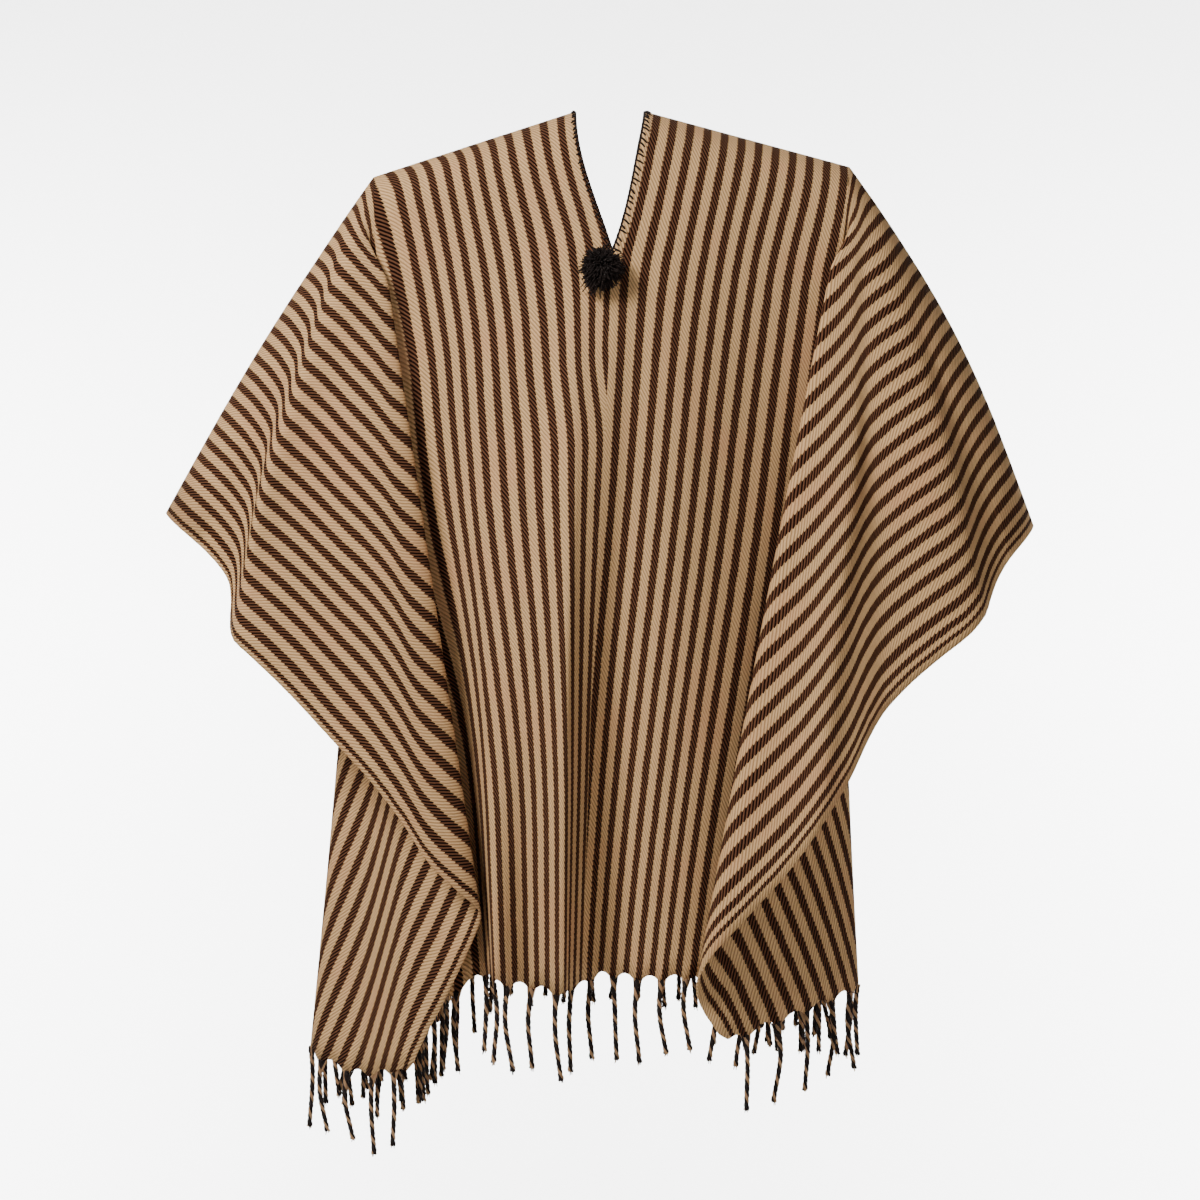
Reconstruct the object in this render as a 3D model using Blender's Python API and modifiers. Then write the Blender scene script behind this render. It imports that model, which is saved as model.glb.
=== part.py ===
"""Wool poncho: one striped woven length with a neck slit, two fringed hems and a yarn pompom.

Metres, +Z up, and the front faces -Y. The origin lies on the top of the shoulders,
midway between the two edges of the neck slit. The cloth is one flat woven length.
A place on it is given by `across` (from the slit, minus to the wearer's right) and
`down` (from the shoulder line, along the cloth). It hangs from the shoulders in
ruled folds: a body panel between the shoulders, and a fan of folds from the
point of each shoulder out to the selvedge.
"""

import math
import random
from bisect import bisect_right
from collections import namedtuple

import bmesh
import bpy
from mathutils import Vector

# The woven length, measured flat
HALF_WIDTH = 0.635
HALF_LENGTH = 0.865
WALL = 0.0016
SEAM_GAP = 0.0003
RIDGE_GAP = 0.0009

# How it is held: shoulder points, the arch of cloth over them, the open neck slit
SHOULDER_ACROSS = 0.209
SHOULDERS = {-1: Vector((-0.235, 0.0, -0.065)), 1: Vector((0.238, 0.0, -0.055))}
ARCH_RADIUS = 0.051
NECK_HALF_GAPE = 0.035
SLIT_DROP = 0.145
SLIT_CURVE = 1.5
SLIT_SOFTNESS = 1.6
SLIT_LEAN = 0.007
LEAN_RISE = (0.03, 0.14)
LEAN_FADE = (0.18, 0.60)
ARM_BOW = {-1: 0.007, 1: 0.018}
BOW_REACH = 0.42
BOW_OUT = 0.88
BOW_UP = 0.47
EDGE_BOW = {-1: 0.008, 1: 0.012}
EDGE_RISE = (0.0, 8.0)
EDGE_FADE = (22.0, 33.0)
EDGE_REACH = 0.88
SELVEDGE_HUG = {-1: 0.013, 1: 0.006}
HUG_RISE = (35.0, 47.0)
HUG_FADE = (76.0, 88.0)
HUG_GROWS = (0.28, 0.50)
FOLD_START = 0.045
FOLD_FULL = 0.12
CHEST_BULGE = {"front": 0.040, "back": 0.055}
PANEL_FORE = 0.092

QUARTER_ARCH = ARCH_RADIUS * math.pi / 2
HEM_DROP = HALF_LENGTH - QUARTER_ARCH + ARCH_RADIUS
SIDE_WIDTH = HALF_WIDTH - SHOULDER_ACROSS
CORNER_ANGLE = math.degrees(math.atan2(SIDE_WIDTH, HEM_DROP))
SELVEDGE_ANGLE = math.degrees(math.atan2(SIDE_WIDTH, ARCH_RADIUS))
FACES = {"front": -1, "back": 1}

# Hem of the body panel. fore is how far it stands out beyond the shoulder arch;
# its pleats grow between the shares start and full of the way down.
HemPlace = namedtuple("HemPlace", "across x fore z start full")
BODY_HEM = {
    "front": (
        HemPlace(-0.170, -0.122, 0.064, -0.853, 0.5, 1.0),
        HemPlace(-0.145, -0.112, 0.096, -0.853, 0.5, 1.0),
        HemPlace(-0.120, -0.106, 0.121, -0.854, 0.5, 1.0),
        HemPlace(-0.076, -0.075, 0.096, -0.860, 0.3, 1.0),
        HemPlace(-0.036, -0.045, 0.118, -0.865, 0.1, 0.8),
        HemPlace(-0.020, -0.040, 0.102, -0.863, 0.1, 0.8),
        HemPlace(0.000, -0.028, 0.084, -0.860, 0.1, 0.8),
        HemPlace(0.028, -0.010, 0.064, -0.853, 0.1, 0.8),
        HemPlace(0.084, 0.032, 0.086, -0.854, 0.2, 0.9),
        HemPlace(0.140, 0.075, 0.092, -0.852, 0.3, 1.0),
        HemPlace(0.175, 0.106, 0.076, -0.855, 0.3, 1.0),
    ),
    "back": (
        HemPlace(-0.170, -0.123, 0.050, -0.838, 0.3, 1.0),
        HemPlace(-0.110, -0.086, 0.086, -0.834, 0.3, 1.0),
        HemPlace(-0.050, -0.048, 0.080, -0.836, 0.2, 1.0),
        HemPlace(0.012, 0.004, 0.110, -0.840, 0.2, 0.9),
        HemPlace(0.070, 0.050, 0.078, -0.836, 0.2, 1.0),
        HemPlace(0.125, 0.084, 0.080, -0.834, 0.3, 1.0),
        HemPlace(0.172, 0.103, 0.048, -0.836, 0.3, 1.0),
    ),
}

# Folds of each side, as rays from the shoulder point. angle is measured in the
# cloth, 0 straight down to 90 along the arm; out and fore are run per unit of drop;
# reach is the length hung over the length woven.
Ray = namedtuple("Ray", "angle out fore reach")
SIDE_RAYS = {
    -1: (
        Ray(0.0, -0.087, 0.045, 0.982),
        Ray(1.5, -0.070, 0.036, 0.990),
        Ray(3.0, -0.060, 0.008, 1.000),
        Ray(6.2, -0.055, -0.042, 1.010),
        Ray(9.0, -0.030, -0.055, 1.010),
        Ray(12.0, 0.000, -0.035, 1.000),
        Ray(15.0, 0.035, -0.055, 0.990),
        Ray(17.5, 0.062, -0.048, 0.985),
        Ray(18.8, 0.071, -0.030, 0.985),
        Ray(20.3, 0.063, -0.008, 0.985),
        Ray(23.5, 0.008, 0.035, 0.975),
        Ray(CORNER_ANGLE, -0.044, 0.075, 0.945),
        Ray(30.5, -0.100, 0.110, 0.960),
        Ray(33.5, -0.145, 0.137, 0.975),
        Ray(34.9, -0.155, 0.153, 0.985),
        Ray(36.3, -0.134, 0.172, 0.995),
        Ray(38.6, -0.092, 0.185, 1.003),
        Ray(41.4, -0.052, 0.190, 1.004),
        Ray(45.2, 0.007, 0.190, 1.006),
        Ray(49.8, 0.081, 0.180, 1.010),
        Ray(53.5, 0.139, 0.170, 1.011),
        Ray(57.3, 0.200, 0.155, 1.012),
        Ray(61.0, 0.258, 0.135, 1.016),
        Ray(64.5, 0.306, 0.115, 1.021),
        Ray(68.0, 0.328, 0.095, 1.015),
        Ray(72.0, 0.343, 0.070, 0.999),
        Ray(76.3, 0.371, 0.045, 0.978),
        Ray(81.0, 0.441, 0.025, 0.953),
        Ray(85.0, 0.514, 0.010, 0.938),
        Ray(90.0, 0.620, 0.000, 0.925),
    ),
    1: (
        Ray(0.0, -0.128, 0.040, 0.975),
        Ray(1.5, -0.112, 0.030, 0.970),
        Ray(3.0, -0.102, 0.002, 0.965),
        Ray(6.0, -0.094, -0.055, 0.960),
        Ray(9.0, -0.060, -0.055, 0.955),
        Ray(12.0, -0.030, -0.035, 0.950),
        Ray(14.5, -0.005, -0.052, 0.945),
        Ray(16.9, 0.009, -0.035, 0.936),
        Ray(18.5, 0.004, -0.008, 0.930),
        Ray(22.5, -0.058, 0.060, 0.924),
        Ray(CORNER_ANGLE, -0.150, 0.135, 0.930),
        Ray(28.8, -0.186, 0.155, 0.950),
        Ray(30.0, -0.198, 0.175, 0.962),
        Ray(31.2, -0.190, 0.195, 0.966),
        Ray(32.9, -0.158, 0.200, 0.967),
        Ray(36.0, -0.108, 0.202, 0.976),
        Ray(40.0, -0.054, 0.200, 0.983),
        Ray(43.6, -0.010, 0.194, 0.988),
        Ray(49.1, 0.027, 0.178, 1.010),
        Ray(54.8, 0.062, 0.162, 1.040),
        Ray(58.7, 0.112, 0.155, 1.042),
        Ray(62.8, 0.178, 0.145, 1.040),
        Ray(66.6, 0.245, 0.125, 1.036),
        Ray(69.9, 0.296, 0.098, 1.020),
        Ray(76.9, 0.352, 0.062, 0.998),
        Ray(84.0, 0.418, 0.030, 0.972),
        Ray(90.0, 0.515, 0.000, 0.943),
    ),
}
BACK_NARROWER = 0.022
BACK_SHORTER = 0.985

# Soft creases laid over the rays, from one place on the side cloth to another.
# Each grows between the shares CREASE_START and CREASE_FULL of its own run.
CREASE_START = -0.3
CREASE_FULL = 0.6
Crease = namedtuple("Crease", "face side out0 drop0 out1 drop1 height soft steep")
CREASES = (
    Crease("front", -1, 0.195, 0.042, 0.420, 0.214, 0.022, 0.055, 0.014),
    Crease("front", -1, 0.054, 0.040, 0.128, 0.070, 0.007, 0.022, 0.012),
    Crease("front", 1, 0.150, 0.066, 0.405, 0.158, 0.020, 0.050, 0.014),
    Crease("front", 1, 0.166, 0.166, 0.300, 0.350, 0.012, 0.035, 0.020),
    Crease("back", -1, 0.150, 0.070, 0.420, 0.205, 0.018, 0.060, 0.018),
    Crease("back", 1, 0.180, 0.060, 0.410, 0.230, 0.020, 0.050, 0.016),
)

# Mesh of the wall
WELD = 0.0001
BODY_COLUMNS = 11
ARM_ANGLES = (80.0, 81.8)
ARCH_ROWS = 4
SLIT_SHARE = (SLIT_DROP - ARCH_RADIUS) / (HEM_DROP - ARCH_RADIUS)
LOWER_SHARES = (0.05, SLIT_SHARE, 0.20, 0.31, 0.43, 0.56, 0.70, 0.85, 1.0)

# Fringe: strands fused into a narrow strip below each hem
STRANDS = 42
STRAND_PITCH = 0.030
STRAND_WIDTH = 0.005
STRAND_THICK = 0.0025
STRAND_STEPS = 4
FRINGE_STRIP = 0.007
FRINGE_GAP = 0.0007
FRINGE_CLEAR = 0.0015
HEM_RUN = 0.02
FRINGE_LENGTHS = (0.066, 0.082)
FRINGE_LEAN = 0.05

# Pompom at the foot of the front slit
POMPOM_ACROSS = -0.008
POMPOM_DROP = 0.158
POMPOM_SPAN = 0.03
POMPOM_CORE = 0.0115
POMPOM_RADIUS = 0.021
LOCK_INSET = 0.0009
LOCK_TIP = 0.45
LOCK_SWAY = 0.0008
LOCK_LEAST_RISE = -0.15
STRAY_LOCKS = 5
STRAY_REACH = 1.5
STRAY_WAY = Vector((-0.5, -0.3, -0.8))


def wool(name, colour):
    """A matt woollen finish in one colour."""
    material = bpy.data.materials.new(name)
    material.use_nodes = True
    shader = material.node_tree.nodes["Principled BSDF"]
    shader.inputs["Base Color"].default_value = (*colour, 1.0)
    shader.inputs["Roughness"].default_value = 0.92
    shader.inputs["Metallic"].default_value = 0.0
    return material


def ease(value, low, high):
    """0 below low, 1 above high, and a smooth rise between."""
    share = min(1.0, max(0.0, (value - low) / (high - low)))
    return share * share * (3.0 - 2.0 * share)


def along(rows, value):
    """Every column of a table at one value of its first, on a smooth curve through its rows."""
    keys = [row[0] for row in rows]
    upper = min(max(bisect_right(keys, value), 1), len(rows) - 1)
    lower = upper - 1
    span = keys[upper] - keys[lower]
    share = min(1.0, max(0.0, (value - keys[lower]) / span))
    before = rows[max(lower - 1, 0)]
    after = rows[min(upper + 1, len(rows) - 1)]
    start = 2 * share ** 3 - 3 * share ** 2 + 1
    end = 3 * share ** 2 - 2 * share ** 3
    leave = (share ** 3 - 2 * share ** 2 + share) * span
    arrive = (share ** 3 - share ** 2) * span
    out = []
    for low, high, back, ahead in zip(rows[lower], rows[upper], before, after):
        leaving = (high - back) / (keys[upper] - before[0])
        arriving = (ahead - low) / (after[0] - keys[lower])
        out.append(start * low + end * high + leave * leaving + arrive * arriving)
    return type(rows[0])(*out)


def arch(down):
    """How far a place on the cloth has dropped and come forward over the shoulder's arch."""
    if down < QUARTER_ARCH:
        turn = down / ARCH_RADIUS
        return ARCH_RADIUS * (1 - math.cos(turn)), ARCH_RADIUS * math.sin(turn)
    return ARCH_RADIUS + down - QUARTER_ARCH, ARCH_RADIUS


def down_at(drop):
    """The place along the cloth that has dropped this far: the arch undone."""
    if drop < ARCH_RADIUS:
        return ARCH_RADIUS * math.acos(max(-1.0, 1 - drop / ARCH_RADIUS))
    return drop - ARCH_RADIUS + QUARTER_ARCH


def side_rays(face, side):
    """The rays of one side; the back has the same folds, a little narrower and shorter."""
    rays = SIDE_RAYS[side]
    if face == "front":
        return rays
    narrowed = []
    for ray in rays:
        hidden = 1.0 - ease(ray.angle, 70.0, 90.0)
        out = ray.out - BACK_NARROWER * hidden
        reach = ray.reach * (1 - (1 - BACK_SHORTER) * hidden)
        narrowed.append(Ray(ray.angle, out, ray.fore, reach))
    return tuple(narrowed)


def ray_vector(ray, side):
    """One ray's run for each unit of woven length, as x, fore and z."""
    return Vector((side * ray.out, ray.fore, -1.0)).normalized() * ray.reach


def side_place(face, side, out, drop):
    """x, fore and z of a place on the side cloth, from its distance out and its drop."""
    angle = math.degrees(math.atan2(out, drop))
    length = math.hypot(out, drop)
    rays = RAYS[face, side]
    folded = ray_vector(along(rays, angle), side)
    plain = ray_vector(rays[0], side).lerp(ray_vector(rays[-1], side), angle / 90)
    run = plain.lerp(folded, ease(length, FOLD_START, FOLD_FULL))
    place = SHOULDERS[side] + run * length
    bow = ARM_BOW[side] * math.sin(math.pi * min(1.0, length / BOW_REACH)) * ease(angle, 45, 90)
    place += Vector((side * BOW_OUT, 0.0, BOW_UP)) * bow
    near_edge = ease(angle, *EDGE_RISE) * (1 - ease(angle, *EDGE_FADE))
    place.x -= side * EDGE_BOW[side] * near_edge * math.sin(math.pi * min(1.0, length / EDGE_REACH))
    at_hug = ease(angle, *HUG_RISE) * (1 - ease(angle, *HUG_FADE)) * ease(length, *HUG_GROWS)
    place.x -= side * SELVEDGE_HUG[side] * at_hug
    place.y += crease_height(face, side, out, drop)
    return place


def crease_height(face, side, out, drop):
    """How far the creases push a place on the side cloth outwards."""
    total = 0.0
    for crease in CREASES:
        if (crease.face, crease.side) != (face, side):
            continue
        run_out = crease.out1 - crease.out0
        run_drop = crease.drop1 - crease.drop0
        run = math.hypot(run_out, run_drop)
        from_out = out - crease.out0
        from_drop = drop - crease.drop0
        on = (from_out * run_out + from_drop * run_drop) / run
        off = (from_drop * run_out - from_out * run_drop) / run
        width = crease.soft if off > 0 else crease.steep
        grown = ease(on, CREASE_START * run, CREASE_FULL * run)
        total += crease.height * grown * math.exp(-((off / width) ** 2))
    return total


def neck_spread(share, drop):
    """How far the slit's gape still spreads the cloth: sharp at its edge, soft beside it."""
    left = 1 - drop / SLIT_DROP
    soft = SLIT_SOFTNESS * min(1.0, share)
    smooth = (left + math.hypot(left, soft)) / (1 + math.hypot(1.0, soft))
    return 1 - (1 - max(0.0, smooth)) ** SLIT_CURVE


def body_place(face, side, across, drop, hem_rows):
    """x, fore and z of a place on the body panel, ruled from the shoulder line to the hem."""
    shoulder = SHOULDERS[side]
    hem = along(hem_rows, across)
    share = abs(across) / SHOULDER_ACROSS
    fall = drop / HEM_DROP
    gape = NECK_HALF_GAPE * neck_spread(share, drop)
    bulge = CHEST_BULGE[face] * 4 * fall * (1 - fall) * math.cos(share * math.pi / 2) ** 2
    lean = SLIT_LEAN * ease(drop, *LEAN_RISE) * (1 - ease(drop, *LEAN_FADE)) * (1 - share) ** 2
    x = (1 - fall) * share * shoulder.x + fall * hem.x + (1 - share) * side * gape + lean
    z = (1 - fall) * share * shoulder.z + fall * hem.z
    end = hem_rows[0] if side < 0 else hem_rows[-1]
    plain = PANEL_FORE + (end.fore - PANEL_FORE) * share ** 2
    pleat = (hem.fore - plain) * ease(fall, hem.start, hem.full)
    return Vector((x, fall * plain + pleat + bulge, z))


def hem_rows(face):
    """The body's hem from shoulder to shoulder: its own places and the two side rays it meets."""
    ends = []
    for side in (-1, 1):
        end = SHOULDERS[side] + ray_vector(RAYS[face, side][0], side) * HEM_DROP
        ends.append(HemPlace(side * SHOULDER_ACROSS, end.x, end.y, end.z, 0.3, 1.0))
    return (ends[0], *BODY_HEM[face], ends[1])


def cloth_point(face, across, down, side=0):
    """Where a place on the woven length hangs. side settles which edge of the slit is meant."""
    side = side or (-1 if across < 0 else 1)
    drop, forward = arch(down)
    if abs(across) > SHOULDER_ACROSS:
        place = side_place(face, side, abs(across) - SHOULDER_ACROSS, drop)
    else:
        place = body_place(face, side, across, drop, HEMS[face])
    return Vector((place.x, FACES[face] * (place.y + forward), place.z))


RAYS = {(face, side): side_rays(face, side) for face in FACES for side in (-1, 1)}
HEMS = {face: hem_rows(face) for face in FACES}


def object_from(mesh_builder, name, material, thickness):
    """An object from a surface, thickened equally to both sides where a thickness is given."""
    mesh = bpy.data.meshes.new(name)
    bmesh.ops.recalc_face_normals(mesh_builder, faces=mesh_builder.faces)
    mesh_builder.to_mesh(mesh)
    mesh_builder.free()
    mesh.materials.append(material)
    mesh.shade_smooth()
    part = bpy.data.objects.new(name, mesh)
    GARMENT.objects.link(part)
    if thickness:
        wall = part.modifiers.new("Wall", "SOLIDIFY")
        wall.thickness = thickness
        wall.offset = 0.0
    return part


def ray_length(angle):
    """Woven length of a ray, out to the selvedge or down to the hem."""
    turn = math.radians(angle)
    if angle > CORNER_ANGLE:
        return SIDE_WIDTH / math.sin(turn)
    return HEM_DROP / math.cos(turn)


def column_places(side, across, angle):
    """Places down one line of the cloth: straight over the arch, then out along its ray."""
    turn = math.radians(angle)
    line = []
    for row in range(ARCH_ROWS + 1):
        line.append((across, QUARTER_ARCH * row / ARCH_ROWS, side))
    first = ARCH_RADIUS / math.cos(turn)
    for share in LOWER_SHARES:
        length = first + (ray_length(angle) - first) * share
        out = length * math.sin(turn) - ARCH_RADIUS * math.tan(turn)
        line.append((across + side * out, down_at(length * math.cos(turn)), side))
    return line


def wall_columns(face):
    """Both halves' lines of (across, down, side) places, left to right."""
    halves = []
    for side in (-1, 1):
        table = {ray.angle for ray in RAYS[face, side] if 0 < ray.angle < SELVEDGE_ANGLE}
        half = []
        for angle in sorted(table | {*ARM_ANGLES, SELVEDGE_ANGLE}, reverse=True):
            out = ARCH_RADIUS * math.tan(math.radians(angle))
            half.append(column_places(side, side * (SHOULDER_ACROSS + out), angle))
        for step in range(BODY_COLUMNS, -1, -1):
            half.append(column_places(side, side * SHOULDER_ACROSS * step / BODY_COLUMNS, 0.0))
        halves.append(half if side < 0 else half[::-1])
    return halves


def cloth_half(face, material):
    """The cloth that hangs on one side of the shoulder line, slit and folds and all."""
    surface = bmesh.new()
    ridge = Vector((0.0, FACES[face] * RIDGE_GAP / 2, 0.0))
    for half in wall_columns(face):
        grid = []
        for column in half:
            points = [cloth_point(face, across, down, side) + ridge for across, down, side in column]
            grid.append([surface.verts.new(point) for point in points])
        for left, right in zip(grid, grid[1:]):
            for row in range(len(left) - 1):
                surface.faces.new((left[row], left[row + 1], right[row + 1], right[row]))
    bmesh.ops.remove_doubles(surface, verts=surface.verts, dist=WELD)
    bmesh.ops.dissolve_degenerate(surface, edges=surface.edges, dist=WELD)
    return object_from(surface, f"cloth_{face}", material, WALL)


def hem_stations(face):
    """Places across the hem where the wall's mesh has a column."""
    places = set()
    for side in (-1, 1):
        for ray in RAYS[face, side]:
            if ray.angle <= CORNER_ANGLE:
                out = HEM_DROP * math.tan(math.radians(ray.angle))
                places.add(round(side * (SHOULDER_ACROSS + out), 6))
        for step in range(BODY_COLUMNS):
            places.add(round(side * SHOULDER_ACROSS * step / BODY_COLUMNS, 6))
    return sorted(places)


def hem_edge(face, across, stations):
    """A point on the wall's faceted hem, and the direction the cloth runs there."""
    upper = min(max(bisect_right(stations, across), 1), len(stations) - 1)
    pair = []
    for place in (stations[upper - 1], stations[upper]):
        foot = cloth_point(face, place, HALF_LENGTH)
        above = cloth_point(face, place, HALF_LENGTH - HEM_RUN)
        pair.append((foot, (foot - above).normalized()))
    share = (across - stations[upper - 1]) / (stations[upper] - stations[upper - 1])
    foot = pair[0][0].lerp(pair[1][0], share)
    return foot, pair[0][1].lerp(pair[1][1], share).normalized()


def fringe(face, material, seed):
    """Strands that hang from a narrow strip, just clear of the cloth's own edge."""
    chance = random.Random(seed)
    stations = hem_stations(face)
    first = -STRAND_PITCH * (STRANDS - 1) / 2
    roots = [first + STRAND_PITCH * step for step in range(STRANDS)]
    half = STRAND_WIDTH / 2
    edges = {root - half for root in roots} | {root + half for root in roots}
    clear = [place for place in stations if min(abs(place - edge) for edge in edges) > FRINGE_CLEAR]
    places = sorted(edges | set(clear))
    surface = bmesh.new()
    rows = {}
    for place in places:
        foot, run = hem_edge(face, place, stations)
        top = surface.verts.new(foot + run * FRINGE_GAP)
        bottom = surface.verts.new(foot + run * FRINGE_STRIP)
        rows[place] = (top, bottom)
    for left, right in zip(places, places[1:]):
        if right > roots[-1] + half + WELD or left < roots[0] - half - WELD:
            continue
        surface.faces.new((rows[left][0], rows[left][1], rows[right][1], rows[right][0]))
    for root in roots:
        length = chance.uniform(*FRINGE_LENGTHS) - FRINGE_STRIP
        lean = Vector((chance.uniform(-1, 1), chance.uniform(-1, 1) * 0.5, 0)) * FRINGE_LEAN
        inside = [place for place in places if abs(place - root) < half + WELD]
        line = [rows[place][1] for place in inside]
        for step in range(1, STRAND_STEPS + 1):
            share = step / STRAND_STEPS
            fall = Vector((0, 0, -1)) * length * share + lean * length * share ** 2
            lower = [surface.verts.new(rows[place][1].co + fall) for place in inside]
            for index in range(len(line) - 1):
                surface.faces.new((line[index], lower[index], lower[index + 1], line[index + 1]))
            line = lower
    loose = [vert for vert in surface.verts if not vert.link_faces]
    bmesh.ops.delete(surface, geom=loose, context="VERTS")
    return object_from(surface, f"fringe_{face}", material, STRAND_THICK)


def pompom(material):
    """A ball of yarn locks fused into a small core, flat where it lies on the cloth."""
    chance = random.Random(11)
    foot = cloth_point("front", POMPOM_ACROSS, down_at(POMPOM_DROP))
    above = cloth_point("front", POMPOM_ACROSS, down_at(POMPOM_DROP - POMPOM_SPAN))
    beside = cloth_point("front", POMPOM_ACROSS - POMPOM_SPAN, down_at(POMPOM_DROP))
    outward = (above - foot).cross(beside - foot).normalized()
    outward *= -1 if outward.y > 0 else 1
    centre = foot + outward * (POMPOM_CORE + WALL / 2 + SEAM_GAP)
    ball = bmesh.new()
    bmesh.ops.create_icosphere(ball, subdivisions=2, radius=POMPOM_CORE)
    heads = [face for face in ball.faces if face.normal.dot(outward) > LOCK_LEAST_RISE]
    bmesh.ops.inset_individual(ball, faces=ball.faces, thickness=LOCK_INSET)
    raised = bmesh.ops.extrude_discrete_faces(ball, faces=heads)["faces"]
    raised.sort(key=lambda face: -face.calc_center_median().dot(STRAY_WAY))
    for index, head in enumerate(raised):
        middle = head.calc_center_median()
        reach = POMPOM_RADIUS * chance.uniform(0.86, 1.06)
        if index < STRAY_LOCKS:
            reach *= STRAY_REACH
        sway = Vector((chance.uniform(-1, 1), chance.uniform(-1, 1), chance.uniform(-1, 1)))
        tip = middle.normalized() * reach + sway * LOCK_SWAY
        for vert in head.verts:
            vert.co = tip + (vert.co - middle) * LOCK_TIP
    bmesh.ops.translate(ball, verts=ball.verts, vec=centre)
    return object_from(ball, "pompom", material, 0)


for old in list(bpy.data.objects):
    bpy.data.objects.remove(old, do_unlink=True)
GARMENT = bpy.data.collections.new("wool_poncho")
bpy.context.scene.collection.children.link(GARMENT)

STRIPED_CLOTH = wool("striped_cloth", (0.36, 0.25, 0.17))
FRINGE_YARN = wool("fringe_yarn", (0.22, 0.14, 0.09))
DARK_YARN = wool("dark_yarn", (0.035, 0.022, 0.016))

cloth_half("front", STRIPED_CLOTH)
cloth_half("back", STRIPED_CLOTH)
fringe("front", FRINGE_YARN, seed=3)
fringe("back", FRINGE_YARN, seed=8)
pompom(DARK_YARN)
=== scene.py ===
"""Wool poncho, worn: a striped twill length over the shoulders, fringed, with a yarn pompom."""

import math
import random
from bisect import bisect_right
from collections import namedtuple

import bmesh
import bpy
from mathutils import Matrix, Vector


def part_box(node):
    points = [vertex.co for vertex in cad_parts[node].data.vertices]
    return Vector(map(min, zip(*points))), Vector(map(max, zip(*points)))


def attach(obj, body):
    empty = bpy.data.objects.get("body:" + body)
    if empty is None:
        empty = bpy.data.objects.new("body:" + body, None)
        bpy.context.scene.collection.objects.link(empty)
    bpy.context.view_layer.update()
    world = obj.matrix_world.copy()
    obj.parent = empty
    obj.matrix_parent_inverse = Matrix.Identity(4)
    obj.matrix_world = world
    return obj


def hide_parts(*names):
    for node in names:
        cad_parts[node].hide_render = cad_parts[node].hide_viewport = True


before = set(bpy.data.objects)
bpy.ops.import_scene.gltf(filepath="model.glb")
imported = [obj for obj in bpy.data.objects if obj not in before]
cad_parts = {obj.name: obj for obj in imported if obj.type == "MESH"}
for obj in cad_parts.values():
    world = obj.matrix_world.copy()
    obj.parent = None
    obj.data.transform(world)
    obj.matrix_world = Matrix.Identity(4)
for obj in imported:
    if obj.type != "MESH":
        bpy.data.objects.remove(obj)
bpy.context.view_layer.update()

# The woven length
# One piece of wool twill, 1.27 m wide and 1.73 m long, with a slit in the middle for
# the neck. It hangs from both shoulders in ruled folds, and nothing is sewn to shape it.
HALF_WIDTH = 0.635
HALF_LENGTH = 0.865
CLOTH_THICK = 0.0016

SHOULDER_ACROSS = 0.209
SHOULDERS = {-1: Vector((-0.235, 0.0, -0.065)), 1: Vector((0.238, 0.0, -0.055))}
ARCH_RADIUS = 0.051
NECK_HALF_GAPE = 0.035
SLIT_DROP = 0.145
SLIT_CURVE = 1.5
SLIT_SOFTNESS = 1.6
SLIT_LEAN = 0.007
LEAN_RISE = (0.03, 0.14)
LEAN_FADE = (0.18, 0.60)
ARM_BOW = {-1: 0.007, 1: 0.018}
BOW_REACH = 0.42
BOW_RISE = (45.0, 90.0)
BOW_OUT = 0.88
BOW_UP = 0.47
EDGE_BOW = {-1: 0.008, 1: 0.012}
EDGE_RISE = (0.0, 8.0)
EDGE_FADE = (22.0, 33.0)
EDGE_REACH = 0.88
SELVEDGE_HUG = {-1: 0.013, 1: 0.006}
HUG_RISE = (35.0, 47.0)
HUG_FADE = (76.0, 88.0)
HUG_GROWS = (0.28, 0.50)
FOLD_START = 0.045
FOLD_FULL = 0.12
CHEST_BULGE = {"front": 0.040, "back": 0.055}
PANEL_FORE = 0.092

QUARTER_ARCH = ARCH_RADIUS * math.pi / 2
HEM_DROP = HALF_LENGTH - QUARTER_ARCH + ARCH_RADIUS
SIDE_WIDTH = HALF_WIDTH - SHOULDER_ACROSS
CORNER_ANGLE = math.degrees(math.atan2(SIDE_WIDTH, HEM_DROP))
SELVEDGE_ANGLE = math.degrees(math.atan2(SIDE_WIDTH, ARCH_RADIUS))
FACES = {"front": -1, "back": 1}

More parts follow.
